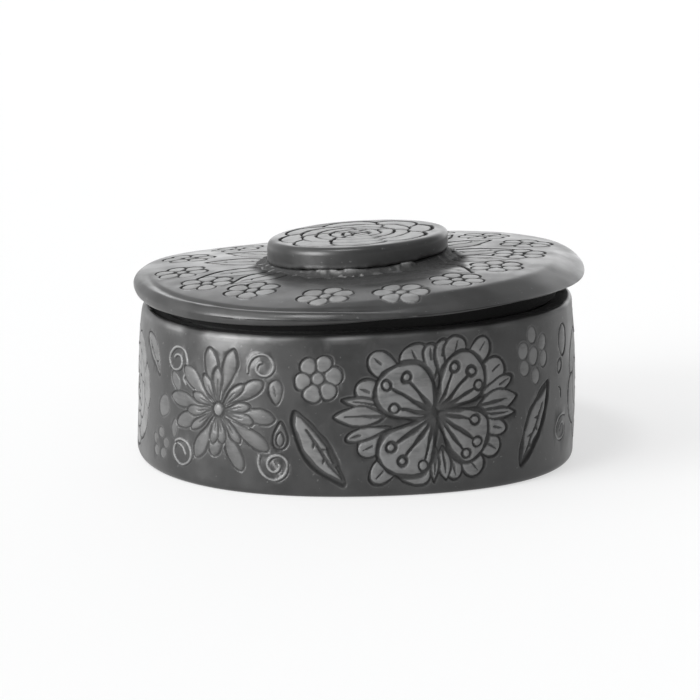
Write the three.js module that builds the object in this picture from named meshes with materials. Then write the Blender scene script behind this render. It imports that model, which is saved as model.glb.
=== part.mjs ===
// A round lidded box of black clay (barro negro), built by hand: a slab floor inside a raised wall, and a
// thick domed lid with a locating flange below it and a broad disc knob luted on top of it.
// Millimetres, +Z up. The origin is the centre of the base, on the surface that the box stands on.
import * as THREE from "three";

// ---- Driving dimensions -------------------------------------------------------------------------------
const bodyRadius = 73; // widest part of the wall
const bodyHeight = 50.6; // top of the rim, halfway along its slope
const wallThickness = 7;
const floorThickness = 6.5;
const lidRadius = 74.4; // equator of the lid's rounded edge
const lidThickness = 7; // over the recess inside the flange
const flangeDepth = 7; // how far the flange drops into the mouth
const flangeThickness = 5;
const flangeClearance = 1.7; // between the flange and the mouth, on the radius
const knobRadius = 29.8;
const knobThickness = 6.9;
const neckHeight = 1.8; // how far the knob stands off the lid
const slip = 0.3; // layer of slip between two luted pieces, and the lid's rest gap
const aroundSegments = 60;
const curveSteps = 3;

// ---- Places that follow from them -----------------------------------------------------------------------
const wallInnerRadius = bodyRadius - wallThickness;
const mouthRadius = wallInnerRadius - 1.4;
const seatHeight = bodyHeight + slip;
const equatorHeight = seatHeight + 6.8;
const recessRadius = 56.6;
const recessHeight = seatHeight + 4.4;
const lidTopHeight = recessHeight + lidThickness;
const flangeRadius = mouthRadius - flangeClearance;
const neckRadius = knobRadius - 4;
const knobBottom = lidTopHeight + neckHeight;
const knobTop = knobBottom + knobThickness;

// ---- How a hand-built pot leaves the true circle and the true level --------------------------------------
// Outlines as a share of the radius, at angle t about +Z.
const bodyOutline = (t) => 1 - 0.009 * Math.sin(3 * t) - 0.0175 * Math.cos(4 * t) - 0.011 * Math.sin(4 * t);
const lidOutline = (t) => 1 + 0.005 * Math.cos(3 * t) - 0.003 * Math.cos(4 * t) - 0.004 * Math.sin(4 * t);

// How far the lid's edge has warped up as it dried.
const lidWarp = (t) => 0.8 * Math.cos(2 * t) - 0.6 * Math.cos(3 * t) + 0.4 * Math.sin(3 * t);

// The wall leans towards +X, by this share of its height.
const wallLean = 0.025;

// Each level stands a little higher towards +X than the base does: [height, slope].
const levelSlopes = [
  [0, 0],
  [bodyHeight, 0.035],
  [equatorHeight, 0.049],
  [lidTopHeight, 0.052],
  [knobBottom, 0.08],
  [knobTop, 0.064],
];

function slopeAt(height) {
  const above = levelSlopes.findIndex(([level]) => level >= height);
  if (above === 0) return levelSlopes[0][1];
  if (above < 0) return levelSlopes.at(-1)[1];
  const [lowHeight, lowSlope] = levelSlopes[above - 1];
  const [highHeight, highSlope] = levelSlopes[above];
  return THREE.MathUtils.mapLinear(height, lowHeight, highHeight, lowSlope, highSlope);
}

// Moves a point of the turned shape to its place on the hand-built one. The outline passes from the wall's
// to the lid's above the seat, and the knob is a true circle.
function handBuilt(point) {
  const height = point.z;
  const angle = Math.atan2(point.y, point.x);
  const radius = Math.hypot(point.x, point.y);
  const lidShare = THREE.MathUtils.smoothstep(height, seatHeight, equatorHeight - 1);
  const knobShare = THREE.MathUtils.smoothstep(height, lidTopHeight - 1, knobBottom);
  const lidded = THREE.MathUtils.lerp(bodyOutline(angle), lidOutline(angle), lidShare);
  const outline = THREE.MathUtils.lerp(lidded, 1, knobShare);
  const warp = lidShare * (1 - knobShare) * (radius / lidRadius) ** 2 * lidWarp(angle);
  const x = radius * outline * Math.cos(angle);
  const lean = wallLean * Math.min(0, height - bodyHeight);
  point.set(x + lean, radius * outline * Math.sin(angle), height + slopeAt(height) * x + warp);
}

// One map serves all the pieces, so that what nests before it still nests after it.
function reshape(geometry) {
  const position = geometry.getAttribute("position");
  const point = new THREE.Vector3();
  for (let i = 0; i < position.count; i++) {
    handBuilt(point.fromBufferAttribute(position, i));
    position.setXYZ(i, point.x, point.y, point.z);
  }
  return geometry;
}

// Turns a profile, drawn as a path of (radius, height), about +Z.
function turned(name, profile, material) {
  const geometry = new THREE.LatheGeometry(profile.getPoints(curveSteps), aroundSegments);
  geometry.rotateX(Math.PI / 2);
  const mesh = new THREE.Mesh(reshape(geometry), material);
  mesh.name = name;
  return mesh;
}

const blackClay = new THREE.MeshStandardMaterial({ color: 0x3f4042, roughness: 0.42, metalness: 0 });
const rawClay = new THREE.MeshStandardMaterial({ color: 0x353535, roughness: 0.8, metalness: 0 });

// ---- Box ------------------------------------------------------------------------------------------------
function floorSlab() {
  const radius = wallInnerRadius - slip;
  const profile = new THREE.Path();
  profile.moveTo(0, 0);
  profile.lineTo(radius, 0);
  profile.lineTo(radius, floorThickness);
  profile.lineTo(0, floorThickness);
  return turned("floor_slab", profile, rawClay);
}

// The coil pressed into the inside corner, where the wall meets the floor.
function floorCoil() {
  const size = 5.2;
  const radius = wallInnerRadius - slip;
  const base = floorThickness + slip;
  const profile = new THREE.Path();
  profile.moveTo(radius - size, base);
  profile.lineTo(radius, base);
  profile.lineTo(radius, base + size);
  profile.quadraticCurveTo(radius - 0.6, base + 0.6, radius - size, base);
  return turned("floor_luting_coil", profile, rawClay);
}

function wall() {
  const footRound = 2;
  const rimRadius = bodyRadius - 1.8; // outer edge of the rim
  const rimRound = 1.2;
  const profile = new THREE.Path();
  profile.moveTo(wallInnerRadius, 0);
  profile.lineTo(bodyRadius + 0.3 - footRound, 0);
  profile.quadraticCurveTo(bodyRadius + 0.3, 0, bodyRadius + 0.4, footRound);
  profile.quadraticCurveTo(bodyRadius + 0.5, 0.6 * bodyHeight, rimRadius, bodyHeight - rimRound);
  profile.quadraticCurveTo(rimRadius - 0.2, bodyHeight, rimRadius - rimRound, bodyHeight);
  profile.lineTo(mouthRadius + rimRound, bodyHeight);
  profile.quadraticCurveTo(mouthRadius, bodyHeight, mouthRadius, bodyHeight - rimRound);
  profile.quadraticCurveTo(mouthRadius, 0.6 * bodyHeight, wallInnerRadius, 0.4 * bodyHeight);
  profile.lineTo(wallInnerRadius, 0);
  return turned("body_wall", profile, blackClay);
}

// ---- Lid ------------------------------------------------------------------------------------------------
function lidPlate() {
  const seatOuterRadius = mouthRadius + 3; // the lid bears on the inner part of the rim
  const undercutHeight = equatorHeight - 2.8; // its edge overhangs the rim, with a gap below
  const undercutRound = 0.8;
  const ridgeRadius = lidRadius - 5;
  const ridgeHeight = equatorHeight + 2.8;
  const profile = new THREE.Path();
  profile.moveTo(0, recessHeight);
  profile.lineTo(recessRadius - 2, recessHeight);
  profile.quadraticCurveTo(recessRadius, recessHeight, recessRadius, recessHeight - 2);
  profile.lineTo(recessRadius, seatHeight);
  profile.lineTo(seatOuterRadius, seatHeight);
  profile.lineTo(seatOuterRadius, undercutHeight - undercutRound);
  profile.quadraticCurveTo(seatOuterRadius, undercutHeight, seatOuterRadius + undercutRound, undercutHeight);
  profile.lineTo(lidRadius - 1.6, undercutHeight);
  profile.quadraticCurveTo(lidRadius, undercutHeight + 0.2, lidRadius, equatorHeight);
  profile.quadraticCurveTo(lidRadius, ridgeHeight - 0.2, ridgeRadius, ridgeHeight);
  profile.quadraticCurveTo(0.75 * ridgeRadius, lidTopHeight, neckRadius + 10, lidTopHeight);
  profile.lineTo(0, lidTopHeight);
  return turned("lid_plate", profile, blackClay);
}

// The ring below the lid that drops into the mouth and keeps the lid in place.
function lidFlange() {
  const top = seatHeight - slip;
  const bottom = bodyHeight - flangeDepth;
  const inner = flangeRadius - flangeThickness;
  const profile = new THREE.Path();
  profile.moveTo(inner + 0.8, bottom);
  profile.lineTo(flangeRadius - 1.6, bottom);
  profile.quadraticCurveTo(flangeRadius, bottom, flangeRadius, bottom + 1.8);
  profile.lineTo(flangeRadius, top);
  profile.lineTo(inner, top);
  profile.lineTo(inner, bottom + 0.8);
  profile.lineTo(inner + 0.8, bottom);
  return turned("lid_flange", profile, rawClay);
}

function knobNeck() {
  const profile = new THREE.Path();
  profile.moveTo(0, lidTopHeight + slip);
  profile.lineTo(neckRadius, lidTopHeight + slip);
  profile.lineTo(neckRadius, knobBottom - slip);
  profile.lineTo(0, knobBottom - slip);
  return turned("knob_neck", profile, rawClay);
}

// The coil smeared round the neck, which shows as a rough collar below the knob.
function neckCoil() {
  const inner = neckRadius + slip;
  const top = knobBottom - slip;
  const bottom = lidTopHeight + slip;
  const profile = new THREE.Path();
  profile.moveTo(inner, bottom);
  profile.lineTo(knobRadius + 3, bottom);
  profile.quadraticCurveTo(knobRadius + 1, top, knobRadius - 1, top);
  profile.lineTo(inner, top);
  profile.lineTo(inner, bottom);
  return turned("neck_luting_coil", profile, rawClay);
}

function knobDisc() {
  const edgeRound = 1.6;
  const profile = new THREE.Path();
  profile.moveTo(0, knobBottom);
  profile.lineTo(knobRadius - 0.5, knobBottom);
  profile.lineTo(knobRadius, knobBottom + 0.5);
  profile.lineTo(knobRadius, knobTop - edgeRound);
  profile.quadraticCurveTo(knobRadius, knobTop, knobRadius - edgeRound, knobTop);
  profile.lineTo(0, knobTop);
  return turned("knob_disc", profile, blackClay);
}

const box = new THREE.Group();
box.add(floorSlab(), floorCoil(), wall());

const lid = new THREE.Group();
lid.add(lidPlate(), lidFlange(), knobNeck(), neckCoil(), knobDisc());

const pot = new THREE.Group();
pot.add(box, lid);

// The hand-built outlines are a little off centre, so the whole is centred over the base.
const middle = new THREE.Box3().setFromObject(pot).getCenter(new THREE.Vector3());
pot.position.set(-middle.x, -middle.y, 0);

export default pot;
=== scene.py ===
"""The looks of a lidded box of black clay: hand-built, burnished, and carved with flowers.

The CAD model is the frame. Each of its nodes is stood for by a finer piece of the same form, which carries
the hand-cut carving. Design sizes here are in millimetres, as in the CAD design, and become metres in
hand_built. Angles are about +Z from +X, in radians unless they are called degrees.
"""

import math

import bpy
import numpy as np
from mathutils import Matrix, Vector


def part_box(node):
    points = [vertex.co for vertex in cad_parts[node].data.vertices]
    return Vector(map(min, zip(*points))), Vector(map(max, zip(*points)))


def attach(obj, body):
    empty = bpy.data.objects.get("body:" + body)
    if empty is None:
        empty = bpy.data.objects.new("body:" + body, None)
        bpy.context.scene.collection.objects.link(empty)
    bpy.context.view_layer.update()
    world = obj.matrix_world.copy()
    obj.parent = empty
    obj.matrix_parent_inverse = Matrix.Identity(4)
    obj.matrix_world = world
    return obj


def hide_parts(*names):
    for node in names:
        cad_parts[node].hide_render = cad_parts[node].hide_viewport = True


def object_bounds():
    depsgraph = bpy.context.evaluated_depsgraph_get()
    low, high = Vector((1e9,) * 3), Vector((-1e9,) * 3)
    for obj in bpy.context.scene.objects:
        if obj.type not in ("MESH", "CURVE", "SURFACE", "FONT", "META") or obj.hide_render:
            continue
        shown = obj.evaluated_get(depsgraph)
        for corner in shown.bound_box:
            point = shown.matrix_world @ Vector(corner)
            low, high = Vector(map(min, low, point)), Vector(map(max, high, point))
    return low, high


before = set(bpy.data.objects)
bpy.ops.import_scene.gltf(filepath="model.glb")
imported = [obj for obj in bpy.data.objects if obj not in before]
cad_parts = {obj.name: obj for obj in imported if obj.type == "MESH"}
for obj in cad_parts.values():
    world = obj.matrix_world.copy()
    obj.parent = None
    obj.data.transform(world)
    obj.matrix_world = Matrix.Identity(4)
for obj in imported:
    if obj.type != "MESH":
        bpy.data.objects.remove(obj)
cad_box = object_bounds()

SCENE = bpy.context.scene
MM = 0.001
FINE_STEP = 0.28  # between the points of a carved surface
PLAIN_STEP = 1.1  # and between the columns of a plain one
MOST_TRIANGLES = 190_000  # in one piece


# ---- The design's own sizes --------------------
BODY_RADIUS = 73
BODY_HEIGHT = 50.6
WALL_THICKNESS = 7
FLOOR_THICKNESS = 6.5
LID_RADIUS = 74.4
LID_THICKNESS = 7
FLANGE_DEPTH = 7
FLANGE_THICKNESS = 5
FLANGE_CLEARANCE = 1.7
KNOB_RADIUS = 29.8
KNOB_THICKNESS = 6.9
NECK_HEIGHT = 1.8
SLIP = 0.3

WALL_INNER_RADIUS = BODY_RADIUS - WALL_THICKNESS
MOUTH_RADIUS = WALL_INNER_RADIUS - 1.4
SEAT_HEIGHT = BODY_HEIGHT + SLIP
EQUATOR_HEIGHT = SEAT_HEIGHT + 6.8
RECESS_RADIUS = 56.6
RECESS_HEIGHT = SEAT_HEIGHT + 4.4
LID_TOP_HEIGHT = RECESS_HEIGHT + LID_THICKNESS
FLANGE_RADIUS = MOUTH_RADIUS - FLANGE_CLEARANCE
NECK_RADIUS = KNOB_RADIUS - 4
KNOB_BOTTOM = LID_TOP_HEIGHT + NECK_HEIGHT
KNOB_TOP = KNOB_BOTTOM + KNOB_THICKNESS
GIRTH = 2 * math.pi * BODY_RADIUS

# Each level stands a little higher towards +X than the base does: heights and slopes.
LEVELS = (0, BODY_HEIGHT, EQUATOR_HEIGHT, LID_TOP_HEIGHT, KNOB_BOTTOM, KNOB_TOP)
SLOPES = (0, 0.035, 0.049, 0.052, 0.08, 0.064)
WALL_LEAN = 0.025


def smooth_step(low, high, value):
    """0 before low, 1 past high, and an easy slope between them. low may be the larger."""
    share = np.clip((value - low) / (high - low), 0, 1)
    return share * share * (3 - 2 * share)


def blend(a, b, share):
    """a where share is 0, and b where it is 1."""
    return a + (b - a) * share


def body_outline(angle):
    """The wall's out-of-round radius, as a share of the true circle's."""
    return 1 - 0.009 * np.sin(3 * angle) - 0.0175 * np.cos(4 * angle) - 0.011 * np.sin(4 * angle)


def lid_outline(angle):
    """The lid's, in the same way."""
    return 1 + 0.005 * np.cos(3 * angle) - 0.003 * np.cos(4 * angle) - 0.004 * np.sin(4 * angle)


def lid_warp(angle):
    """How far the lid's edge has warped up as it dried."""
    return 0.8 * np.cos(2 * angle) - 0.6 * np.cos(3 * angle) + 0.4 * np.sin(3 * angle)


# The turned shape's axis stands in the middle of the knob, which is its one true circle.
KNOB_LOW, KNOB_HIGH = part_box("knob_disc")
AXIS_X, AXIS_Y = (KNOB_LOW.x + KNOB_HIGH.x) / 2, (KNOB_LOW.y + KNOB_HIGH.y) / 2


def hand_built(radius, angle, height):
    """Moves points of the turned shape, in millimetres, to their places on the pot, in metres."""
    lid_share = smooth_step(SEAT_HEIGHT, EQUATOR_HEIGHT - 1, height)
    knob_share = smooth_step(LID_TOP_HEIGHT - 1, KNOB_BOTTOM, height)
    lidded = blend(body_outline(angle), lid_outline(angle), lid_share)
    outline = blend(lidded, 1, knob_share)
    warp = lid_share * (1 - knob_share) * (radius / LID_RADIUS) ** 2 * lid_warp(angle)
    x = radius * outline * np.cos(angle)
    y = radius * outline * np.sin(angle)
    lean = WALL_LEAN * np.minimum(0, height - BODY_HEIGHT)
    z = height + np.interp(height, LEVELS, SLOPES) * x + warp
    return np.stack([(x + lean) * MM + AXIS_X, y * MM + AXIS_Y, z * MM], -1)


# ---- Turned surfaces ---------------------------
def traced(start, *moves):
    """Points along a profile of (radius, height). A move is (end, step) for a straight stretch, or
    (control, end, step) for a bend, and step is about the distance between its points."""
    points = [np.array(start, float)]
    for *control, end, step in moves:
        first, last = points[-1], np.array(end, float)
        middle = np.array(control[0], float) if control else (first + last) / 2
        length = math.dist(first, middle) + math.dist(middle, last)
        count = max(1, round(length / step))
        for share in np.arange(1, count + 1) / count:
            points.append((1 - share) ** 2 * first + 2 * share * (1 - share) * middle + share**2 * last)
    return np.array(points)


LATTICE_SIZE = 32
LATTICE = np.random.default_rng(7).uniform(-1, 1, (LATTICE_SIZE,) * 3)
LATTICE_MIDDLE = 512  # a whole number of lattices, so that places stay positive
SHIFT_STEP = 7.3


def grain(points, cell, shift=0):
    """Smooth noise from -1 to 1 at points, with lumps about one cell across. Each use has a shift of its
    own, a small whole number, which takes it to another part of the noise."""
    place = points / cell + LATTICE_MIDDLE + SHIFT_STEP * shift
    corner = np.floor(place).astype(int)
    share = place - corner
    share = share * share * (3 - 2 * share)
    total = np.zeros(points.shape[:-1])
    for x in (0, 1):
        for y in (0, 1):
            for z in (0, 1):
                weight = np.ones_like(total)
                for axis, side in enumerate((x, y, z)):
                    part = share[..., axis]
                    weight *= part if side else 1 - part
                i, j, k = ((corner[..., n] + side) % LATTICE_SIZE for n, side in enumerate((x, y, z)))
                total += weight * LATTICE[i, j, k]
    return total


class Turned:
    """A closed surface turned about the axis: a grid of profile points by columns round it."""

    def __init__(self, profile, step, radius=BODY_RADIUS):
        self.ring = np.allclose(profile[0], profile[-1])
        profile = profile[:-1] if self.ring else profile
        columns = round(2 * math.pi * radius / step)
        # Column 0 is at the back, where a seam between patterns shows least.
        turn = math.pi / 2 + np.arange(columns) * 2 * math.pi / columns
        self.radius, self.angle = np.meshgrid(profile[:, 0], turn, indexing="ij")
        self.height = np.repeat(profile[:, 1:], columns, 1)
        if self.ring:
            along = np.roll(profile, -1, 0) - np.roll(profile, 1, 0)
        else:
            along = np.gradient(profile, axis=0)
            along[[0, -1], 1] = 0
        along /= np.linalg.norm(along, axis=1)[:, None]
        self.out = np.repeat(along[:, 1:], columns, 1)  # the outward normal's radial share
        self.up = np.repeat(-along[:, :1], columns, 1)
        self.lift = np.zeros_like(self.radius)  # how far the surface stands out from the profile
        self.settle = np.zeros_like(self.radius)  # how far it has moved up
        self.marks = {name: np.zeros_like(self.radius) for name in ("scraped_and_highlight", "dark_and_shade", "raw")}

    def points(self):
        """The places of the grid's points on the turned shape."""
        x, y = self.radius * np.cos(self.angle), self.radius * np.sin(self.angle)
        return np.stack([x, y, self.height], -1)

    def facing(self, degrees, spread):
        """1 where the surface faces this way, and 0 beyond spread degrees either side."""
        away = (self.angle - math.radians(degrees) + math.pi) % (2 * math.pi) - math.pi
        return smooth_step(spread, 0.3 * spread, np.degrees(np.abs(away)))

    def mark(self, name, amount):
        """Marks the surface by this amount, where it isn't marked more already."""
        self.marks[name] = np.maximum(self.marks[name], amount)

    def uneven(self, amount, cell, shift=0):
        """Hand-made unevenness, in lumps about one cell across."""
        self.lift += amount * grain(self.points(), cell, shift)

    def top_relief(self, rows):
        """A relief to draw on some of the rows, on a plan seen from above."""
        spots = self.points()[rows]
        return Relief(spots[..., 0], spots[..., 1], spots)

    def carve(self, rows, relief):
        """Takes what was drawn on some of the rows."""
        self.lift[rows] += relief.height.reshape(self.lift[rows].shape)
        for name, mark in (("scraped_and_highlight", relief.scraped_and_highlight), ("dark_and_shade", relief.dark_and_shade)):
            self.marks[name][rows] = mark.reshape(self.lift[rows].shape)

    def piece(self, name, body, material, slot, node):
        """Makes the mesh, thins it where it is dense, and puts it in the frame."""
        radius = np.maximum(self.radius + self.lift * self.out, 0)
        height = self.height + self.lift * self.up + self.settle
        place = hand_built(radius, self.angle, height)
        vertices, quads, fans, keep = self.faces(place)
        mesh = bpy.data.meshes.new(name)
        mesh.vertices.add(len(vertices))
        mesh.vertices.foreach_set("co", vertices.astype(np.float32).ravel())
        corners = np.concatenate([quads.ravel(), fans.ravel()]).astype(np.int32)
        mesh.loops.add(len(corners))
        mesh.loops.foreach_set("vertex_index", corners)
        mesh.polygons.add(len(quads) + len(fans))
        starts = np.concatenate([np.arange(len(quads)) * 4, quads.size + np.arange(len(fans)) * 3])
        mesh.polygons.foreach_set("loop_start", starts.astype(np.int32))
        mesh.update(calc_edges=True)
        for mark, values in self.marks.items():
            layer = mesh.attributes.new(mark, "FLOAT", "POINT")
            layer.data.foreach_set("value", values.ravel()[keep].astype(np.float32))
        mesh.shade_smooth()
        mesh.validate()
        piece = bpy.data.objects.new(name, mesh)
        SCENE.collection.objects.link(piece)
        thin(piece, 2 * len(quads) + len(fans))
        piece.data.materials.append(material)
        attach(piece, body)
        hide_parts(node)
        return piece

    def faces(self, place):
        """Vertices, quads, the fans round the axis, and which grid points are kept as vertices."""
        rows, columns = self.radius.shape
        grid = np.arange(rows * columns).reshape(rows, columns)
        if self.ring:
            low, high = grid, np.roll(grid, -1, 0)
            fans = np.zeros((0, 3), int)
            keep = grid.ravel()
        else:
            keep = np.concatenate([[0], grid[1:-1].ravel(), [grid[-1, 0]]])
            grid = 1 + grid[: rows - 2]
            low, high = grid[:-1], grid[1:]
            first, last = np.zeros(columns, int), np.full(columns, len(keep) - 1)
            bottom = np.stack([first, np.roll(grid[0], -1), grid[0]], -1)
            top = np.stack([last, grid[-1], np.roll(grid[-1], -1)], -1)
            fans = np.concatenate([bottom, top])
        quads = np.stack([low, np.roll(low, -1, 1), np.roll(high, -1, 1), high], -1)
        return place.reshape(-1, 3)[keep], quads.reshape(-1, 4), fans, keep


def thin(piece, triangles):
    """Joins the triangles of plain stretches, so that the carving keeps most of them."""
    if triangles <= MOST_TRIANGLES:
        return
    modifier = piece.modifiers.new("thin", "DECIMATE")
    modifier.ratio = MOST_TRIANGLES / triangles
    depsgraph = bpy.context.evaluated_depsgraph_get()
    dense = piece.data
    piece.data = bpy.data.meshes.new_from_object(piece.evaluated_get(depsgraph))
    piece.modifiers.clear()
    bpy.data.meshes.remove(dense)
    piece.data.name = piece.name
    piece.data.shade_smooth()


# ---- Carving -----------------------------------
def unit(vector):
    """A vector's direction."""
    return np.array(vector, float) / max(math.hypot(*vector), 1e-9)


def spline(points, closed=False, steps=6):
    """A smooth line through points."""
    points = np.array(points, float)
    if closed:
        before, after, last = np.roll(points, 1, 0), np.roll(points, -1, 0), np.roll(points, -2, 0)
    else:
        padded = np.concatenate([2 * points[:1] - points[1:2], points, 2 * points[-1:] - points[-2:-1]])
        before, points, after, last = padded[:-3], padded[1:-2], padded[2:-1], padded[3:]
    share = (np.arange(steps) / steps)[None, :, None]
    p0, p1, p2, p3 = (p[:, None] for p in (before, points, after, last))
    line = 0.5 * (
        2 * p1
        + (p2 - p0) * share
        + (2 * p0 - 5 * p1 + 4 * p2 - p3) * share**2
        + (3 * p1 - p0 - 3 * p2 + p3) * share**3
    ).reshape(-1, 2)
    return line if closed else np.concatenate([line, after[-1:]])


def blade(root, tip, width, belly=0.55, ends=0.55, bend=0.0):
    """The outline of a petal or leaf from root to tip. belly is where it is widest, ends is 0.5 for round
    ends and 1 or more for pointed ones, and bend bows it to its left."""
    root, tip = np.array(root, float), np.array(tip, float)
    share = (1 - np.cos(np.linspace(0, math.pi, 15))) / 2
    side = unit(tip - root) @ np.array([[0, 1], [-1, 0]])
    half = width / 2 * np.sin(math.pi * share ** (math.log(0.5) / math.log(belly))) ** ends
    spine = root + np.outer(share, tip - root) + np.outer(bend * 4 * share * (1 - share), side)
    return np.concatenate([spine + np.outer(half, side), (spine - np.outer(half, side))[-2:0:-1]])


def round_outline(centre, across, up=None):
    """A circle, or an ellipse where up is given. Both are half-widths."""
    turn = np.linspace(0, 2 * math.pi, 20, endpoint=False)
    return np.array(centre) + np.stack([across * np.cos(turn), (up or across) * np.sin(turn)], -1)


def polar(centre, radius, degrees):
    """The point at this distance and bearing from a centre."""
    turn = math.radians(degrees)
    return np.array(centre, float) + radius * np.array([math.cos(turn), math.sin(turn)])


def spiral(centre, outer, inner, start, turns):
    """A line that winds in from outer to inner. Positive turns run to the left."""
    share = np.linspace(0, 1, 12 + round(abs(turns) * 24))
    angle = math.radians(start) + share * turns * 2 * math.pi
    radius = blend(outer, inner, share**0.85)
    return np.array(centre) + np.stack([radius * np.cos(angle), radius * np.sin(angle)], -1)


def measured(points, line, closed):
    """The distance from each point to a line, its share of the way along it, and whether it is inside."""
    ends = np.roll(line, -1, 0) if closed else line[1:]
    starts = line if closed else line[:-1]
    lengths = np.linalg.norm(ends - starts, axis=1)
    passed = np.concatenate([[0], np.cumsum(lengths)])
    away = np.full(len(points), np.inf)
    along = np.zeros(len(points))
    inside = np.zeros(len(points), bool)
    x, y = points.T
    for start, end, length, before in zip(starts, ends, lengths, passed):
        run, rise = end - start
        share = np.clip(((x - start[0]) * run + (y - start[1]) * rise) / max(length**2, 1e-12), 0, 1)
        gap = np.hypot(x - start[0] - share * run, y - start[1] - share * rise)
        closer = gap < away
        away[closer] = gap[closer]
        along[closer] = (before + share[closer] * length) / passed[-1]
        if closed and rise:
            spans = (start[1] > y) != (end[1] > y)
            inside ^= spans & (x < run * (y - start[1]) / rise + start[0])
    return away, along, inside


CROWN_RUN = 1.2  # how far in from a field's edge its crown has mostly risen


class Relief:
    """What is cut into a surface, on a plan of it in millimetres. Later cuts lie over earlier ones."""

    def __init__(self, across, up, spots, girth=None):
        """across and up are the plan of the surface, and spots the places of its points in space. girth
        is the plan's length where it goes right round the pot."""
        spots = spots.reshape(-1, 3)
        self.girth = girth
        # The hand's unsteadiness bends every line a little, and presses it in more or less.
        self.across = across.ravel() + 0.36 * grain(spots, 4.5, 20) + 0.07 * grain(spots, 1.5, 21)
        self.up = up.ravel() + 0.36 * grain(spots, 4.5, 22) + 0.07 * grain(spots, 1.5, 23)
        self.pressure = 1 + 0.5 * grain(spots, 3.2, 24)
        self.place = lambda points: points  # puts a motif's points on the plan
        # How dark the grooves are painted, for their unburnished clay and as painted shade in them, and how
        # light the fields and the burrs.
        self.ink, self.wear, self.burr = 1.0, 1.0, 0.2
        self.height = np.zeros_like(self.across)
        self.scraped_and_highlight = np.zeros_like(self.across)
        self.dark_and_shade = np.zeros_like(self.across)

    def near(self, outline, margin):
        """The grid points near an outline: their places in the grid and on the plan."""
        low, high = outline.min(0) - margin, outline.max(0) + margin
        across = self.across
        if self.girth:
            middle = (low[0] + high[0]) / 2
            across = middle + (across - middle + self.girth / 2) % self.girth - self.girth / 2
        beside = (across > low[0]) & (across < high[0])
        at = np.flatnonzero(beside & (self.up > low[1]) & (self.up < high[1]))
        return at, np.stack([across[at], self.up[at]], -1)

    def field(self, outline, edge=0.5, depth=0.4, sink=0.1, crown=0.2, scraped_and_highlight=1.0, ink=1.0):
        """A petal or leaf: a scraped field with a groove of half-width edge round it."""
        outline = self.place(np.asarray(outline, float))
        at, points = self.near(outline, 2 * edge + 0.5)
        if not len(at):
            return
        away, _, inside = measured(points, outline, True)
        fill = smooth_step(-0.18, 0.18, np.where(inside, away, -away))
        swell = crown * (1 - np.exp(-away / CROWN_RUN)) - sink
        self.height[at] += fill * (swell - self.height[at])
        self.scraped_and_highlight[at] += fill * (self.wear * scraped_and_highlight - self.scraped_and_highlight[at])
        self.dark_and_shade[at] *= 1 - fill
        if edge:
            self.cut(at, away, edge, depth, ink)

    def cut(self, at, away, edge, depth, ink):
        """A groove, painted dark for its unburnished clay and as painted shade in it, with a burr of lighter
        clay thrown up beside it.
        """
        edge = edge * self.pressure[at]
        trench = smooth_step(edge, 0.4 * edge, away)
        self.height[at] += trench * (-depth - self.height[at])
        # How far the groove is painted dark: its clay, and painted shade.
        dark_clay_and_shade = smooth_step(1.05 * edge, 0.65 * edge, away)
        self.dark_and_shade[at] = np.maximum(self.dark_and_shade[at], self.ink * ink * dark_clay_and_shade)
        burr = np.exp(-(((away - edge - 0.2) / 0.2) ** 2)) * np.clip(self.pressure[at] - 0.8, 0, 1)
        self.height[at] += 0.12 * burr
        self.scraped_and_highlight[at] = np.maximum(self.scraped_and_highlight[at], self.burr * burr)

    def stroke(self, line, width, depth=0.35, ink=1.0, ends=(1.0, 1.0)):
        """A groove along a line. ends are the shares of its width left at its two ends."""
        line = self.place(np.asarray(line, float))
        at, points = self.near(line, width + 0.5)
        if not len(at):
            return
        away, along, _ = measured(points, line, False)
        edge = np.maximum(width / 2 * np.interp(along, [0, 0.5, 1], [ends[0], 1, ends[1]]), 0.05)
        self.cut(at, away, edge, depth, ink)

    def scratch(self, line, width=0.75, depth=0.25):
        """A needle line: a light core, a painted shadow along its lower side, and a burr."""
        line = self.place(np.asarray(line, float))
        at, points = self.near(line, width + 1)
        if not len(at):
            return
        # A painted shadow, in a band just below and to the right of the line.
        below, _, _ = measured(points, line - [-0.35, 0.45], False)
        shade = smooth_step(0.55 * width, 0.2 * width, below)
        self.dark_and_shade[at] = np.maximum(self.dark_and_shade[at], 0.6 * shade)
        self.height[at] -= 0.8 * depth * shade
        away, _, _ = measured(points, line, False)
        core = smooth_step(0.62 * width, 0.25 * width, away)
        self.dark_and_shade[at] *= 1 - core
        self.scraped_and_highlight[at] = np.maximum(self.scraped_and_highlight[at], 0.8 * core)
        self.height[at] += 0.22 * core


# ---- Motifs ------------------------------------
def small_flower(relief, centre, reach, petals, turn, width, heart, edge=0.4, ink=0.9):
    """Round petals about a round heart."""
    for k in range(petals):
        degrees = turn + 360 * k / petals
        root, tip = polar(centre, 0.25 * reach, degrees), polar(centre, reach, degrees)
        relief.field(blade(root, tip, width, 0.6, 0.42), edge, ink=ink)
    relief.field(round_outline(centre, heart), edge, crown=0.25, ink=ink)


def rose(relief, centre, rings, turn, edge=0.45, depth=0.4):
    """Rings of overlapping petals, from the outermost in, and a curl in the middle."""
    for number, (radius, petals) in enumerate(rings):
        width = 1.16 * 2 * math.pi * 0.8 * radius / petals
        for k in range(petals):
            degrees = turn + 360 * (k + 0.37 * number) / petals + 4 * math.sin(5 * k + number)
            tip = polar(centre, radius * (1 + 0.03 * math.sin(3 * k + 2 * number)), degrees)
            outline = blade(centre, tip, min(width, 1.5 * radius), 0.7, 0.42)
            relief.field(outline, edge, depth)
    small = rings[-1][0]
    relief.stroke(spiral(centre, 0.6 * small, 0.15 * small, turn, 1.2), 0.6)


# The daisy's long petals: (degrees, reach).
DAISY_PETALS = (
    (103, 19.5), (77, 20), (33, 17.5), (-6, 19), (-35, 21), (-66, 21), (-94, 15.5), (-117, 19), (-158, 18.5),
    (176, 20.5), (140, 19),
)


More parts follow.
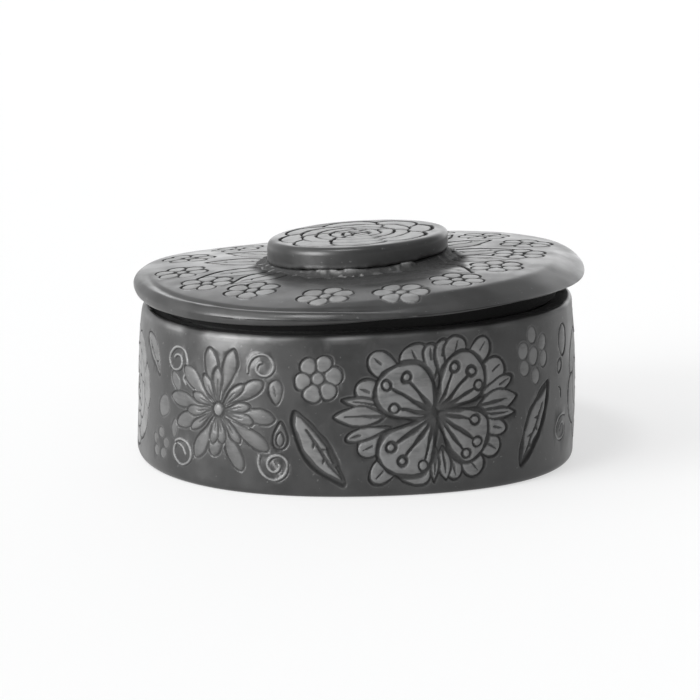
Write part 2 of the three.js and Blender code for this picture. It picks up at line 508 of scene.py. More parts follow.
def daisy(relief, centre):
    """Long petals behind short ones, each with a fold scratched down it, and a button."""
    for degrees, reach in DAISY_PETALS:
        outline = blade(polar(centre, 2.5, degrees), polar(centre, reach, degrees), 5, 0.72, 0.62)
        relief.field(outline, 0.36, 0.3, crown=0.35, scraped_and_highlight=0.5, ink=0.75)
        relief.scratch(outline[2:8], 0.45, 0.12)
    for number, (degrees, reach) in enumerate(DAISY_PETALS):
        degrees += 15 + 3 * math.sin(2 * number)
        reach = 12.2 + 1.2 * math.sin(1.7 * number)
        outline = blade(polar(centre, 1.5, degrees), polar(centre, reach, degrees), 3.3, 0.7, 0.62)
        relief.field(outline, 0.36, 0.32, crown=0.3, scraped_and_highlight=0.6, ink=0.85)
        fold = [polar(centre, 2.5, degrees), polar(centre, 0.7 * reach, degrees)]
        relief.stroke(fold, 0.7, 0.2, 0.7, (1, 0.3))
    relief.field(round_outline(centre, 2.0, 2.4), 0.45, crown=0.6)


def midrib(relief, root, tip, width, ribs=3, side=1.1):
    """A groove down a leaf, with short side cuts."""
    root, tip = np.array(root, float), np.array(tip, float)
    ahead = unit(tip - root)
    aside = ahead @ np.array([[0, 1], [-1, 0]])
    relief.stroke([root, tip], width, 0.35, 1.0, (0.5, 0.35))
    for k in range(ribs):
        start = root + (tip - root) * (0.25 + 0.5 * k / max(ribs - 1, 1))
        turned = aside if k % 2 else -aside
        relief.stroke([start, start + side * (turned + 0.8 * ahead)], 0.8 * width, 0.3, 1.0, (1, 0.3))


def long_leaf(relief, root, tip, width, bend):
    """A deeply cut leaf with a midrib."""
    relief.field(blade(root, tip, width, 0.48, 0.85, bend), 1.0, 0.65)
    root, tip = np.array(root, float), np.array(tip, float)
    midrib(relief, blend(root, tip, 0.25), blend(root, tip, 0.9), 1.5, 4, 1.6)


# The big flower: outlines of its four petals, and the places of the rings that end its stamens.
BIG_PETALS = (
    ([(25, 25.5), (24.6, 34), (22, 39.5), (17, 41.2), (10.5, 39.8), (6.4, 35.5), (6, 30.5), (9, 26.3),
      (14, 24.2), (20, 24.2)],
     [(16, 36.7), (9.5, 34.8), (12, 27.4)]),
    ([(26.3, 26.2), (26.4, 33), (28, 39.5), (32, 43.2), (37, 43.2), (41, 39), (41.8, 33.5), (39.5, 29.2),
      (33, 27.2)],
     [(31.5, 39), (37, 37.2), (39.3, 32.7)]),
    ([(25, 24.6), (17, 22.2), (9.6, 20), (7.2, 15.5), (8.2, 10.5), (12, 7.2), (18, 6.4), (22.8, 8), (25, 14)],
     [(11.3, 15.7), (15, 11.2), (21.6, 9.6)]),
    ([(26.6, 25), (34, 25.7), (39.8, 25.2), (42.6, 22), (42.8, 16), (40, 10.6), (35.3, 9.2), (31.2, 12),
      (28.4, 18)],
     [(38.3, 22.3), (39.3, 15.4), (35.8, 12)]),
)
BIG_CENTRE = (25.6, 25.2)
# What stands behind it: each small petal's or leaf's tip, its width, and how pointed it is.
BEHIND_PETALS = (
    ((4.2, 44.3), 8.0, 0.45), ((-0.4, 34.4), 7.5, 0.45), ((17, 46.2), 10.5, 0.42), ((23.6, 46.6), 5.4, 0.5),
    ((28, 47.4), 5.0, 0.5), ((33, 48), 7.2, 0.45), ((43.2, 46.6), 6.4, 0.45), ((48.6, 38.6), 8.2, 0.45),
    ((1.0, 14.2), 6.6, 0.45), ((5.6, 5.0), 7.4, 0.45), ((17, 4.2), 12.0, 0.42), ((40.8, 5.4), 7.2, 0.45),
    ((33, 4.6), 5.4, 0.5), ((47.2, 11.6), 7.0, 0.45), ((49.4, 18.2), 5.6, 0.5), ((51.8, 33.4), 4.6, 0.6),
    ((-3, 18.4), 4.0, 0.5),
)
BEHIND_LEAVES = (
    ((-4.2, 30.6), 3.4), ((-6.8, 25.4), 6.4), ((53.4, 27.6), 7.2), ((53, 22.8), 3.4), ((29.4, 4.6), 4.6),
    ((25.4, 4.4), 2.6),
)


def big_flower(relief):
    """The small petals and leaves behind, then the four petals with their stamens."""
    for tip, width, ends in BEHIND_PETALS:
        tip = np.array(tip, float)
        root = blend(tip, np.array(BIG_CENTRE), 0.5)
        relief.field(blade(root, tip, width, 0.68, ends), 0.55, 0.45)
        tick = unit(root - tip)
        relief.stroke([tip + 1.4 * tick, tip + 4.6 * tick], 0.95, 0.3, 0.9, (0.3, 1))
    for tip, width in BEHIND_LEAVES:
        tip = np.array(tip, float)
        root = blend(tip, np.array(BIG_CENTRE), 0.5)
        relief.field(blade(root, tip, width, 0.5, 0.8), 0.55, 0.45)
        relief.stroke([blend(tip, root, 0.2), root], 1.1, 0.35, 1.0, (0.3, 1))
    for outline, rings in BIG_PETALS:
        relief.field(spline(outline, True), 0.95, 0.7, crown=0.4)
        for ring in rings:
            away = unit(np.array(BIG_CENTRE) - ring)
            relief.stroke([np.array(ring) + 1.5 * away, BIG_CENTRE], 1.75, 0.5, 1.0, (0.55, 1.1))
            circle = round_outline(ring, 1.5)
            relief.stroke(np.concatenate([circle, circle[:1]]), 1.15, 0.45)
    # The first stretch of each petal's outline once more, which the next petals' fields have crossed.
    for outline, _ in BIG_PETALS:
        relief.stroke(spline(outline, True)[:5], 1.9, 0.7)


def front_group(relief):
    """The motifs that stand round the daisy and the big flower, from left to right."""
    relief.field(blade((-84, 45.5), (-72.5, 33.5), 6.5, 0.4, 0.8, 1.5), 0.4, 0.35, scraped_and_highlight=0.6, ink=0.8)
    midrib(relief, (-82, 44), (-73, 35), 0.8, 2)
    relief.field(blade((-70.8, 20), (-67.5, 27.4), 6.2, 0.5, 0.6), 0.25, 0.15, scraped_and_highlight=0.5, ink=0.4)
    for spot in ((-70.5, 14.5), (-74.5, 11.8), (-67.5, 11.5), (-73.5, 8), (-69, 8)):
        relief.field(round_outline(spot, 1.75), 0.2, 0.12, scraped_and_highlight=0.5, ink=0.4)
    relief.scratch(spiral((-62.5, 40), 5.6, 1.7, -40, 1.5))
    relief.scratch(spline([(-58.2, 36.4), (-58.8, 34.6), (-57.6, 32.8)]))
    relief.field(blade((-64, 36), (-60.6, 30), 3.6, 0.5, 0.7), 0.25, 0.2, scraped_and_highlight=0.5, ink=0.5)
    relief.field(blade((-62.2, 21), (-63, 14.4), 3.4, 0.5, 0.7), 0.25, 0.15, scraped_and_highlight=0.5, ink=0.4)
    relief.scratch(spiral((-59, 10), 4.6, 3.9, 130, -0.97))
    relief.scratch(spline([(-60.6, 13), (-58.5, 12), (-57.2, 10)]))
    daisy(relief, (-44, 26.5))
    relief.scratch(spiral((-29.8, 40.8), 5.2, 1.5, 200, -1.25))
    relief.scratch(spiral((-24.6, 9.9), 5.6, 1.3, 150, 1.6))
    relief.field(blade((-25.8, 36.8), (-24.6, 29.2), 4.4, 0.42, 0.6), 0.35, 0.3, scraped_and_highlight=0.7, ink=0.7)
    relief.stroke([(-26, 35), (-25, 31.5)], 0.6, 0.2, 0.8, (0.4, 0.4))
    relief.field(blade((-23.3, 14.8), (-23.2, 24), 4.8, 0.36, 0.7), 0.45, 0.35, scraped_and_highlight=0.35)
    relief.field(blade((-23.3, 15.8), (-23.2, 20.6), 2.6, 0.45, 0.7), 0.35, 0.35, scraped_and_highlight=0.6)
    small_flower(relief, (-12.2, 37.2), 7.6, 6, 10, 5.6, 2.1, 0.42)
    long_leaf(relief, (-19.4, 27), (-3.2, 4.6), 7.4, -1.2)
    big_flower(relief)
    for spot in ((60.5, 45), (56.5, 40.8), (65.5, 42), (66, 37), (61.8, 32.6), (57, 35.4)):
        relief.field(round_outline(spot, 2.0, 2.5), 0.25, 0.15, scraped_and_highlight=0.9, ink=0.35)
    relief.field(round_outline((60.9, 38.6), 2.1, 2.8), 0.25, 0.15, scraped_and_highlight=0.9, ink=0.35)
    long_leaf(relief, (68.4, 29.6), (56.2, 6), 7.2, -0.6)
    relief.field(blade((78.5, 35.6), (79.4, 45.2), 6, 0.55, 0.5), 0.35, 0.3, scraped_and_highlight=0.6, ink=0.7)
    relief.field(blade((75.5, 31), (77, 35), 3, 0.5, 0.6), 0.3, 0.25, scraped_and_highlight=0.5, ink=0.6)
    relief.stroke(spline([(75.2, 26.6), (76.8, 25.4), (77.2, 23)]), 0.8, 0.3, 0.8, (0.4, 0.4))
    relief.scratch(spiral((77.6, 13), 5, 1.6, 60, 1.3))


# Roses, as rings of (radius, petals), from the outermost in.
WALL_ROSE = ((20.5, 7), (14.5, 6), (9.5, 5), (5.2, 3))
KNOB_ROSE = ((25.4, 8), (18.6, 6), (13, 5), (8, 4), (4.4, 3))


def draw_wall(relief):
    """The bands of motifs round the wall. The plan's 0 across is at the front."""
    for across, turn in ((-101, 12), (104, 40)):
        rose(relief, (across, 24.5), WALL_ROSE, turn)
    front_group(relief)
    # The far side, which repeats the near side's motifs half-way round, mirrored.
    relief.place = lambda points: points * [-1, 1] + [GIRTH / 2, 0]
    front_group(relief)
    relief.place = lambda points: points
    # Spirals and a leaf fill the two gaps that are left.
    for across in (127, 321):
        relief.scratch(spiral((across, 37), 5.4, 1.4, 200, -1.6), 0.6)
        relief.scratch(spiral((across + 1, 12), 5.4, 1.4, 140, 1.8), 0.6)
        relief.field(blade((across - 3, 20.5), (across + 3.5, 30), 5, 0.5, 0.7), 0.4, 0.3)


SMEAR_FRONT = 277  # the way the neck's coil is smeared furthest over the lid, in degrees
# The flowers round the lid, as (degrees, distance from the axis).
LID_FLOWERS = (
    (17, 59.5), (40, 57), (64, 58), (88, 56.5), (112, 58), (136, 57), (161, 60), (188, 58.5), (210, 55.6),
    (232, 53.4), (260, 57), (283, 59), (305, 54), (331, 50.4), (356, 53),
)


def draw_lid(relief):
    """Leaves that point out between the flowers, then the flowers."""
    for number, (degrees, reach) in enumerate(LID_FLOWERS):
        after = LID_FLOWERS[(number + 1) % len(LID_FLOWERS)][0]
        between = degrees + (after - degrees) % 360 / 2 + 2 * math.sin(3 * number)
        if 240 < between < 300:
            continue  # the smear of the neck's coil covers the front
        tip = polar((0, 0), 52 + 2 * math.sin(2 * number), between)
        relief.field(blade(polar((0, 0), 24, between), tip, 12, 0.5, 0.95), 0.55, 0.5)
        midrib(relief, polar((0, 0), 30, between), polar((0, 0), 48, between), 0.9, 2, 1.5)
    for number, (degrees, reach) in enumerate(LID_FLOWERS):
        turn = degrees + 23 * number
        ink = 0.65 if 250 < degrees < 295 else 0.95  # fainter where the smear's clay was wiped away
        small_flower(relief, polar((0, 0), reach, degrees), 8.9, 6, turn, width=6.2, heart=2.0, ink=ink)


# ---- Materials ---------------------------------
# The colour sockets of a Mix node, which share their names with its number sockets.
MIX_A, MIX_B, MIX_RESULT = 6, 7, 2


class Nodes:
    """Short names for the nodes of a material or of the world."""

    def __init__(self, owner, shader="Principled BSDF", space="Object"):
        owner.use_nodes = True
        self.tree = owner.node_tree
        self.shader = self.tree.nodes[shader]
        self.place = self.node("TexCoord").outputs[space]

    def node(self, kind, **inputs):
        return self.fill(self.tree.nodes.new("ShaderNode" + kind), **inputs)

    def fill(self, node, **inputs):
        """Feeds a node's inputs by their names, with _ for a space."""
        for name, value in inputs.items():
            self.feed(node.inputs[name.replace("_", " ")], value)
        return node

    def feed(self, socket, value):
        """Gives an input a socket to follow, a colour or a number."""
        if isinstance(value, bpy.types.NodeSocket):
            self.tree.links.new(value, socket)
        elif isinstance(value, tuple):
            socket.default_value = (*value, 1)
        else:
            socket.default_value = value

    def mark(self, name):
        """What the mesh says of a mark."""
        node = self.node("Attribute")
        node.attribute_name = name
        return node.outputs["Fac"]

    def noise(self, scale, detail=2.0, stretch=(1, 1, 1), rough=0.5):
        mapping = self.node("Mapping", Vector=self.place)
        mapping.inputs["Scale"].default_value = stretch
        node = self.node("TexNoise", Vector=mapping.outputs["Vector"])
        return self.fill(node, Scale=scale, Detail=detail, Roughness=rough).outputs["Fac"]

    def maths(self, operation, a, b=0.0):
        node = self.node("Math")
        node.operation = operation
        self.feed(node.inputs[0], a)
        self.feed(node.inputs[1], b)
        return node.outputs[0]

    def between(self, share, low, high):
        """low where share is 0 and high where it is 1, for numbers or their sockets."""
        return self.node("Mix", Factor=share, A=low, B=high).outputs["Result"]

    def ramp(self, value, low, high, top=1.0):
        """0 where value is low, top where it is high."""
        node = self.node("MapRange", Value=value, From_Min=low, From_Max=high, To_Max=top)
        node.interpolation_type = "SMOOTHSTEP"
        return node.outputs["Result"]

    def colour(self, grey, warm, cool):
        """A grey number as a colour between two tints."""
        node = self.node("Mix", Factor=1)
        node.data_type, node.blend_type = "RGBA", "MULTIPLY"
        tint = self.node("Mix", Factor=self.noise(45, 2))
        tint.data_type = "RGBA"
        self.feed(tint.inputs[MIX_A], warm)
        self.feed(tint.inputs[MIX_B], cool)
        self.feed(node.inputs[MIX_A], grey)
        self.feed(node.inputs[MIX_B], tint.outputs[MIX_RESULT])
        return node.outputs[MIX_RESULT]


def clay(name):
    """Reduced black clay: burnished, or scraped, grooved or raw where the mesh says so. Grooves are painted
    near black, for their clay and as painted shade, and so are the hollows under the lid's edge, as painted
    shade only; the lighter scraped mark also carries a painted highlight along the rim.
    """
    material = bpy.data.materials.new(name)
    n = Nodes(material)
    scraped_and_highlight, dark_and_shade, raw = n.mark("scraped_and_highlight"), n.mark("dark_and_shade"), n.mark("raw")
    cloud = n.noise(70, 4, rough=0.6)
    fine = n.noise(1500, 3, rough=0.6)
    strokes = n.noise(800, 3, (0.22, 0.22, 1), 0.6)
    polish = n.noise(260, 3, (0.12, 0.12, 1), 0.55)

    # Greys: burnished ground with specks, scraped fields with two mottlings, raw clay, and near black for
    # grooves and painted shade.
    ground = n.between(n.ramp(cloud, 0.3, 0.7), 0.016, 0.031)
    specks = n.ramp(n.noise(620, 2, rough=0.5), 0.69, 0.76)
    ground = n.between(specks, ground, 0.075)
    scrape = n.between(n.ramp(strokes, 0.3, 0.7), 0.14, 0.24)
    scrape = n.between(n.ramp(n.noise(180, 2), 0.35, 0.65), scrape, 0.25)
    earth = n.between(n.ramp(fine, 0.3, 0.8), 0.02, 0.042)
    grey = n.between(raw, ground, earth)
    grey = n.between(scraped_and_highlight, grey, scrape)
    # Near black where grooves and painted shade are marked.
    grey = n.between(dark_and_shade, grey, 0.004)

    gloss = n.between(n.ramp(cloud, 0.3, 0.7), 0.28, 0.41)
    gloss = n.between(raw, gloss, 0.8)
    gloss = n.between(scraped_and_highlight, gloss, 0.46)
    gloss = n.between(dark_and_shade, gloss, 1.0)

    # The bump: tool strokes on what is scraped, grit on what is raw, and burnishing over all of it.
    height = n.maths("MULTIPLY", strokes, n.maths("MULTIPLY", scraped_and_highlight, 0.9))
    height = n.maths("ADD", height, n.maths("MULTIPLY", fine, n.maths("MULTIPLY", raw, 1.1)))
    height = n.maths("ADD", height, n.maths("MULTIPLY", polish, 0.28))
    height = n.maths("ADD", height, n.maths("MULTIPLY", fine, 0.05))
    bump = n.node("Bump", Distance=0.16 * MM, Height=height).outputs["Normal"]

    tinted = n.colour(grey, (1, 0.985, 0.97), (0.97, 0.99, 1))
    n.fill(n.shader, Base_Color=tinted, Roughness=gloss, IOR=1.52, Normal=bump)
    return material


# ---- Pieces ------------------------------------
def box_wall(material):
    foot, rim_radius, rim, outer = 2, BODY_RADIUS - 1.8, 1.2, 1.7
    profile = traced(
        (WALL_INNER_RADIUS + 0.5, 0.15),
        ((BODY_RADIUS + 0.3 - foot, 0), 1.2),
        ((BODY_RADIUS + 0.3, 0), (BODY_RADIUS + 0.4, foot), 0.5),
        ((BODY_RADIUS + 0.5, 0.6 * BODY_HEIGHT), (rim_radius, BODY_HEIGHT - outer), FINE_STEP),
        ((rim_radius - 0.3, BODY_HEIGHT), (rim_radius - outer, BODY_HEIGHT), FINE_STEP),
        ((MOUTH_RADIUS + rim, BODY_HEIGHT), 1),
        ((MOUTH_RADIUS, BODY_HEIGHT), (MOUTH_RADIUS, BODY_HEIGHT - rim), 0.5),
        ((MOUTH_RADIUS, 0.6 * BODY_HEIGHT), (WALL_INNER_RADIUS, 0.4 * BODY_HEIGHT), 1.5),
        ((WALL_INNER_RADIUS, 0.7), 1.5),
        ((WALL_INNER_RADIUS + 0.5, 0.15), 0.7),
    )
    form = Turned(profile, FINE_STEP)
    rows = np.flatnonzero((form.radius[:, 0] > BODY_RADIUS - 2.2) & (form.height[:, 0] > foot))
    around = BODY_RADIUS * (form.angle[rows] + math.pi / 2)
    relief = Relief(around, form.height[rows], form.points()[rows], GIRTH)
    relief.ink, relief.wear, relief.burr = 0.72, 0.53, 0.4
    draw_wall(relief)
    form.carve(rows, relief)
    form.uneven(0.32, 21)
    form.uneven(0.12, 8, 1)
    # The wall bulges out on its left, and its foot stands flat.
    form.lift += 1.3 * form.facing(182, 75) * smooth_step(15, 48, form.height) * (form.out > 0.3)
    form.lift *= smooth_step(0, 4, form.height)
    inside = smooth_step(rim_radius - 1.2, rim_radius - 2.2, form.radius)
    # The top of the mouth, inside, is painted near black as shade in the gap under the lid.
    mouth_shade = inside * smooth_step(BODY_HEIGHT - 8, BODY_HEIGHT - 1, form.height)
    form.mark("raw", 0.8 * inside)
    form.mark("dark_and_shade", mouth_shade)
    # A lighter band round the rim's outer edge: a little wear all round, and a painted highlight, strongest
    # on the front left.
    wear_and_highlight = np.exp(-(((form.height - BODY_HEIGHT + 1) / 0.7) ** 2)) * (1 - inside)
    wear_and_highlight *= smooth_step(-0.5, 0.4, grain(form.points(), 6, 14)) * (0.25 + 0.75 * form.facing(245, 40))
    form.mark("scraped_and_highlight", wear_and_highlight)
    return form.piece("box_wall", "box", material, "burnished_clay", "body_wall")


def lid_top(material):
    ridge_radius, ridge_height = LID_RADIUS - 5, EQUATOR_HEIGHT + 2.8
    seat_radius, undercut = MOUTH_RADIUS + 1.2, EQUATOR_HEIGHT - 2.8
    inner = NECK_RADIUS - 2  # what lies further in is hidden below the knob
    profile = traced(
        (0, RECESS_HEIGHT),
        ((RECESS_RADIUS - 2, RECESS_HEIGHT), 4),
        ((RECESS_RADIUS, RECESS_HEIGHT), (RECESS_RADIUS, RECESS_HEIGHT - 2), 0.8),
        ((RECESS_RADIUS, SEAT_HEIGHT + 0.3), 1.5),
        ((RECESS_RADIUS, SEAT_HEIGHT), (RECESS_RADIUS + 0.4, SEAT_HEIGHT), 0.3),
        ((seat_radius - 0.5, SEAT_HEIGHT), 1.5),
        ((seat_radius, SEAT_HEIGHT), (seat_radius, SEAT_HEIGHT + 0.5), 0.4),
        ((seat_radius, undercut - 0.8), 0.8),
        ((seat_radius, undercut), (seat_radius + 0.8, undercut), 0.4),
        ((LID_RADIUS - 1.9, undercut), 0.6),
        ((LID_RADIUS, undercut + 0.1), (LID_RADIUS, EQUATOR_HEIGHT), 0.4),
        ((LID_RADIUS, ridge_height - 0.2), (ridge_radius, ridge_height), 0.4),
        ((0.75 * ridge_radius, LID_TOP_HEIGHT), (NECK_RADIUS + 10, LID_TOP_HEIGHT), FINE_STEP),
        ((inner, LID_TOP_HEIGHT), FINE_STEP),
        ((0, LID_TOP_HEIGHT), 4),
    )
    form = Turned(profile, FINE_STEP)
    radius = form.radius[:, 0]
    rows = np.flatnonzero((form.up[:, 0] > 0.5) & (radius > inner - 1) & (radius < ridge_radius + 1))
    relief = form.top_relief(rows)
    relief.ink, relief.wear = 0.9, 0.85
    draw_lid(relief)
    form.carve(rows, relief)
    smear_lid(form)
    form.uneven(0.2, 18, 2)
    form.uneven(0.08, 7, 3)
    shape_shoulder(form)
    low = form.height < EQUATOR_HEIGHT
    form.mark("raw", 0.8 * (low & (form.radius < LID_RADIUS - 3)))
    # The seat under the lid's edge is painted near black as shade in the gap over the rim.
    seat_shade = low * smooth_step(LID_RADIUS - 1.4, LID_RADIUS - 2.6, form.radius)
    form.mark("dark_and_shade", seat_shade * (form.radius > RECESS_RADIUS + 1))
    return form.piece("lid_top", "lid", material, "burnished_clay", "lid_plate")


BEVEL_START, BEVEL_SLOPE, BEVEL_SOFTNESS = 64.8, 0.43, 0.5
BREAK_HEIGHT = EQUATOR_HEIGHT + 3.3  # the bevel's start
TOP_SLOPE = 0.09  # the lid's own slope, before the bevel
EDGE_FOOT = EQUATOR_HEIGHT - 1.6  # where the bevelled side's edge is widest
FOOT_SLACK = 0.2  # the share of the edge's height that is left below it


def shape_shoulder(form):
    """The lid's edge as fingers left it: creased behind the ridge on one side, bevelled on the other."""
    above = form.up > 0.1
    crease = np.exp(-((form.radius - 69.6) ** 2))
    crease = crease - 0.7 * np.exp(-(((form.radius - 72.6) / 1.1) ** 2))
    form.lift -= 0.75 * crease * above * form.facing(238, 62) * (1 + 0.5 * grain(form.points(), 8, 15))
    # The bevel falls from the slope of the top to the edge, with a soft break at its start.
    past = form.radius - BEVEL_START
    fall = BEVEL_SLOPE * BEVEL_SOFTNESS * np.logaddexp(0, past / BEVEL_SOFTNESS)
    top = BREAK_HEIGHT - TOP_SLOPE * past
    upper = top - fall - form.height
    lower = EDGE_FOOT - FOOT_SLACK * (EQUATOR_HEIGHT - form.height) - form.height
    on_top = (form.height > EQUATOR_HEIGHT) & (form.up > -0.1) & (form.radius > BEVEL_START - 8)
    on_top = on_top * smooth_step(BEVEL_START - 8, BEVEL_START - 2, form.radius)
    on_edge = (form.height <= EQUATOR_HEIGHT) & (form.radius > LID_RADIUS - 7)
    on_edge = on_edge * smooth_step(LID_RADIUS - 7, LID_RADIUS - 5, form.radius)
    form.settle += (upper * on_top + lower * on_edge) * form.facing(316, 72)
    form.settle -= 0.7 * smooth_step(48, 70, form.radius) * above * form.facing(272, 50)


def smear_lid(form):
    """The clay dragged out over the lid from the neck's coil, furthest at the front. It is painted darker for
    its unburnished clay, and darker still nearest the neck as painted shade under the knob.
    """
    points = form.points()
    front = np.cos((form.angle - math.radians(SMEAR_FRONT)) / 2) ** 6
    reach = 31.5 + 13 * front + 2 * grain(points, 7, 4) + 1.2 * grain(points, 2.5, 5)
    above = form.up > 0.5
    smear = smooth_step(reach + 2.5, reach - 1.5, form.radius) * above
    form.lift += smear * (0.12 + 0.16 * grain(points, 2.4, 6) + 0.1 * grain(points, 1.1, 7))
    form.lift *= blend(1, 0.75, smear)
    form.marks["scraped_and_highlight"] *= 1 - 0.9 * smear
    # Painted darker: unburnished clay, and nearest the neck painted shade under the knob.
    dark_clay_and_shade = 0.45 + 0.4 * smooth_step(40, 36, form.radius + 2 * grain(points, 3, 17))
    form.marks["dark_and_shade"] = blend(form.marks["dark_and_shade"], dark_clay_and_shade, 0.85 * smear)
    form.mark("raw", 0.75 * smear)


def knob(material):
    edge, chamfer = 2.5, 0.5
    profile = traced(
        (0, KNOB_BOTTOM),
        ((KNOB_RADIUS - 1.2, KNOB_BOTTOM), 4),
        ((KNOB_RADIUS - chamfer, KNOB_BOTTOM), (KNOB_RADIUS, KNOB_BOTTOM + chamfer), 0.4),
        ((KNOB_RADIUS, KNOB_TOP - edge), 0.6),
        ((KNOB_RADIUS, KNOB_TOP), (KNOB_RADIUS - edge, KNOB_TOP), 0.3),
        ((0, KNOB_TOP), FINE_STEP),
    )
    form = Turned(profile, FINE_STEP, KNOB_RADIUS)
    rows = np.flatnonzero((form.height[:, 0] > KNOB_TOP - 0.01) & (form.radius[:, 0] > 0))
    relief = form.top_relief(rows)
    rose(relief, (-0.6, -0.4), KNOB_ROSE, 8, 0.56, 0.65)
    form.carve(rows, relief)
    # All the columns meet on the axis, so it stays flat there.
    clear = smooth_step(2, 6, form.radius)
    form.lift *= clear
    form.lift += 0.12 * grain(form.points(), 12, 8) * clear
    rough = smooth_step(KNOB_BOTTOM + 1.4, KNOB_BOTTOM, form.height)
    form.lift += rough * 0.25 * grain(form.points(), 2, 9) * clear
    form.mark("raw", 0.8 * rough)
    return form.piece("knob", "lid", material, "burnished_clay", "knob_disc")


def neck_smear(material):
    """The coil luted round the neck: pressed down by finger, rough, with crumbs left on it."""
    inner, top, bottom = NECK_RADIUS + SLIP, KNOB_BOTTOM - SLIP, LID_TOP_HEIGHT - 0.15
    step = 0.3
    profile = traced(
        (inner, bottom),
        ((KNOB_RADIUS + 4.2, bottom), 0.6),
        ((KNOB_RADIUS + 1.4, bottom + 0.15), (KNOB_RADIUS + 0.3, top - 0.5), step),
        ((KNOB_RADIUS, top), (KNOB_RADIUS - 1, top), step),
        ((inner, top), 0.8),
        ((inner, bottom), 0.6),
    )
    form = Turned(profile, step, KNOB_RADIUS)
    points = form.points()
    outer = smooth_step(KNOB_RADIUS - 1.5, KNOB_RADIUS, form.radius)
    crumbs = smooth_step(0.3, 0.7, grain(points, 1.3, 10)) * smooth_step(0, 0.4, grain(points, 9, 11))
    ledge = np.maximum(form.facing(256, 22), form.facing(301, 9))
    ledge = ledge * smooth_step(bottom + 0.4, top, form.height)
    crumbs = np.maximum(crumbs, ledge * smooth_step(-0.3, 0.3, grain(points, 1.6, 16)))
    form.lift += outer * (0.25 * grain(points, 2.6, 12) + 0.25 * crumbs + 0.4 * ledge)
    form.mark("raw", 1)
    form.mark("scraped_and_highlight", 0.75 * crumbs * outer)
    return form.piece("neck_smear", "lid", material, "raw_clay", "neck_luting_coil")


def plain_piece(name, body, material, node, profile, radius, lumps=0.12):
    """A piece that shows only when the box is open or turned over. The lengths of its names are the shifts
    of its unevenness."""
    form = Turned(profile, PLAIN_STEP, radius)
    clear = smooth_step(0, 4, form.radius)
    form.lift += lumps * clear * grain(form.points(), 9, len(name))
    form.lift += 0.4 * lumps * clear * grain(form.points(), 3, len(node))
    form.mark("raw", 0.9)
    return form.piece(name, body, material, "raw_clay", node)


def box_floor(material):
    radius = WALL_INNER_RADIUS - SLIP
    profile = traced(
        (0, 0.2),
        ((radius - 0.8, 0.2), 1.5),
        ((radius, 0.2), (radius, 1), 0.5),
        ((radius, FLOOR_THICKNESS), 1.5),
        ((0, FLOOR_THICKNESS), 1.5),
    )
    return plain_piece("box_floor", "box", material, "floor_slab", profile, radius)


def floor_fillet(material):
    size, base = 5.2, FLOOR_THICKNESS + SLIP
    radius = WALL_INNER_RADIUS - SLIP
    profile = traced(
        (radius - size, base),
        ((radius, base), 1),
        ((radius, base + size), 1),
        ((radius - 0.6, base + 0.6), (radius - size, base), 0.5),
    )
    return plain_piece("floor_fillet", "box", material, "floor_luting_coil", profile, radius, 0.1)


def lid_ring(material):
    top, bottom = SEAT_HEIGHT - SLIP, BODY_HEIGHT - FLANGE_DEPTH
    inner = FLANGE_RADIUS - FLANGE_THICKNESS
    profile = traced(
        (inner + 0.8, bottom),
        ((FLANGE_RADIUS - 1.6, bottom), 0.7),
        ((FLANGE_RADIUS, bottom), (FLANGE_RADIUS, bottom + 1.8), 0.4),
        ((FLANGE_RADIUS, top), 0.9),
        ((inner, top), 1.2),
        ((inner, bottom + 0.8), 0.9),
        ((inner, bottom), (inner + 0.8, bottom), 0.4),
    )
    return plain_piece("lid_ring", "lid", material, "lid_flange", profile, FLANGE_RADIUS, 0.15)


def knob_pad(material):
    profile = traced(
        (0, LID_TOP_HEIGHT + SLIP),
        ((NECK_RADIUS, LID_TOP_HEIGHT + SLIP), 1.5),
        ((NECK_RADIUS, KNOB_BOTTOM - SLIP), 0.4),
        ((0, KNOB_BOTTOM - SLIP), 1.5),
    )
    return plain_piece("knob_pad", "lid", material, "knob_neck", profile, NECK_RADIUS, 0.05)


# ---- Stage, light and camera -------------------
CAMERA_ELEVATION = 11.6  # degrees
CAMERA_DISTANCE = 808 * MM
SENSOR_WIDTH, FOCAL_LENGTH = 36, 125
AIM_SHIFT = Vector((-2.85, 0, -4.74)) * MM  # from the middle of the CAD box to what the camera aims at
FLOOR_HALF = 8
FLOOR_GREY, FLOOR_GLOW = 0.32, 0.59
# Broad lights of the studio: azimuth and elevation of the middle, how far round it each is whole and where
# it ends, all in degrees, and how much it adds to the studio's own brightness.
GLOWS = (
    (165, 0, 8, 40, 1.8),
    (-110, 15, 20, 80, 0.45),
)
STUDIO_LEAST = 0.44
# The suns: name, azimuth and elevation in degrees, strength, and how many degrees each is across.
SUNS = (
    ("left_window", -75, 40, 0.5, 60),
    ("low_window", -60, 12, 3.9, 38),
    ("high_window", -45, 65, 0.85, 14),
)


def towards(azimuth, elevation):
    """The direction of a light or of the camera, from degrees. Azimuth 0 is the camera's own, and 90 is to
    the right of the pot."""
    a, e = math.radians(azimuth), math.radians(elevation)
    return Vector((math.sin(a) * math.cos(e), -math.cos(a) * math.cos(e), math.sin(e)))


def place_facing(name, data, back):
    """Makes a camera or a light that looks away from the direction at its back."""
    made = bpy.data.objects.new(name, data)
    made.rotation_mode = "QUATERNION"
    made.rotation_quaternion = (-back).to_track_quat("-Z", "Y")
    SCENE.collection.objects.link(made)
    return made


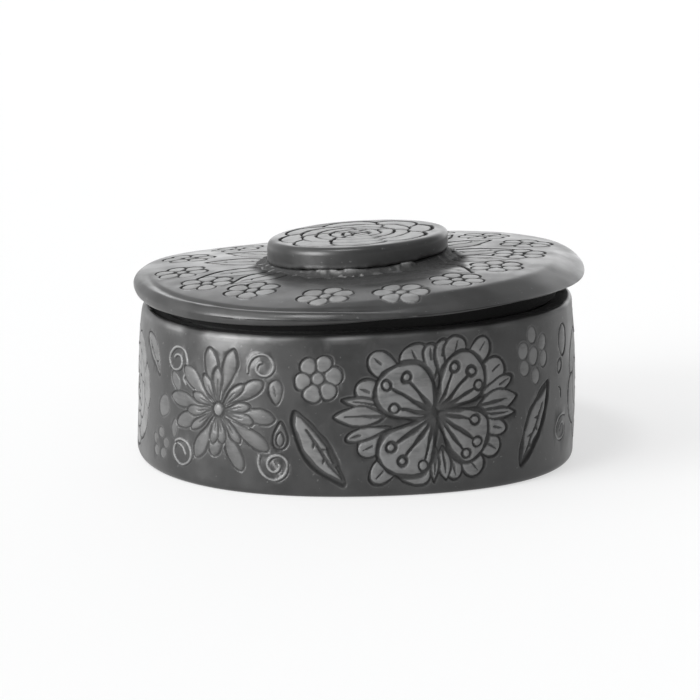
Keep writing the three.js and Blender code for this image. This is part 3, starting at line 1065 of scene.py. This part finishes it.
def camera():
    """The camera, a little above the rim and in front."""
    data = bpy.data.cameras.new("camera")
    data.sensor_width, data.lens = SENSOR_WIDTH, FOCAL_LENGTH
    data.clip_start, data.clip_end = 0.05, 50
    back = towards(0, CAMERA_ELEVATION)
    made = place_facing("camera", data, back)
    made.location = (cad_box[0] + cad_box[1]) / 2 + AIM_SHIFT + CAMERA_DISTANCE * back
    SCENE.camera = made


def floor():
    """A pale floor that glows a little, so that it is as light far off as near."""
    corners = [(x * FLOOR_HALF, y * FLOOR_HALF, 0) for x, y in ((-1, -1), (1, -1), (1, 1), (-1, 1))]
    mesh = bpy.data.meshes.new("studio_floor")
    mesh.from_pydata(corners, [], [(0, 1, 2, 3)])
    made = bpy.data.objects.new("studio_floor", mesh)
    SCENE.collection.objects.link(made)
    material = bpy.data.materials.new("pale_floor")
    n = Nodes(material)
    white = (1, 1, 1)
    grey = n.colour(n.between(n.noise(3, 2), FLOOR_GREY, FLOOR_GREY * 1.004), white, white)
    n.fill(n.shader, Base_Color=grey, Roughness=0.9, Specular_IOR_Level=0.1)
    n.fill(n.shader, Emission_Color=white, Emission_Strength=FLOOR_GLOW)
    mesh.materials.append(material)


def sun(name, azimuth, elevation, strength, spread):
    """A broad, soft light from afar."""
    data = bpy.data.lights.new(name, "SUN")
    data.energy, data.angle = strength, math.radians(spread)
    place_facing(name, data, towards(azimuth, elevation))


def surroundings():
    """A pale studio, brightest low down behind the pot, and light on its left."""
    SCENE.world = bpy.data.worlds.new("studio")
    n = Nodes(SCENE.world, "Background", "Generated")
    total = STUDIO_LEAST
    for azimuth, elevation, whole, end, share in GLOWS:
        nearness = n.node("VectorMath")
        nearness.operation = "DOT_PRODUCT"
        n.feed(nearness.inputs[0], n.place)
        nearness.inputs[1].default_value = towards(azimuth, elevation)
        low, high = math.cos(math.radians(end)), math.cos(math.radians(whole))
        total = n.maths("ADD", total, n.ramp(nearness.outputs["Value"], low, high, share))
    n.fill(n.shader, Color=(0.99, 0.995, 1), Strength=total)
    SCENE.view_settings.view_transform = "Standard"


camera()
floor()
surroundings()
for window in SUNS:
    sun(*window)

BURNISHED = clay("burnished_black_clay")
RAW = clay("raw_black_clay")
box_wall(BURNISHED)
box_floor(RAW)
floor_fillet(RAW)
lid_top(BURNISHED)
lid_ring(RAW)
knob_pad(RAW)
neck_smear(RAW)
knob(BURNISHED)
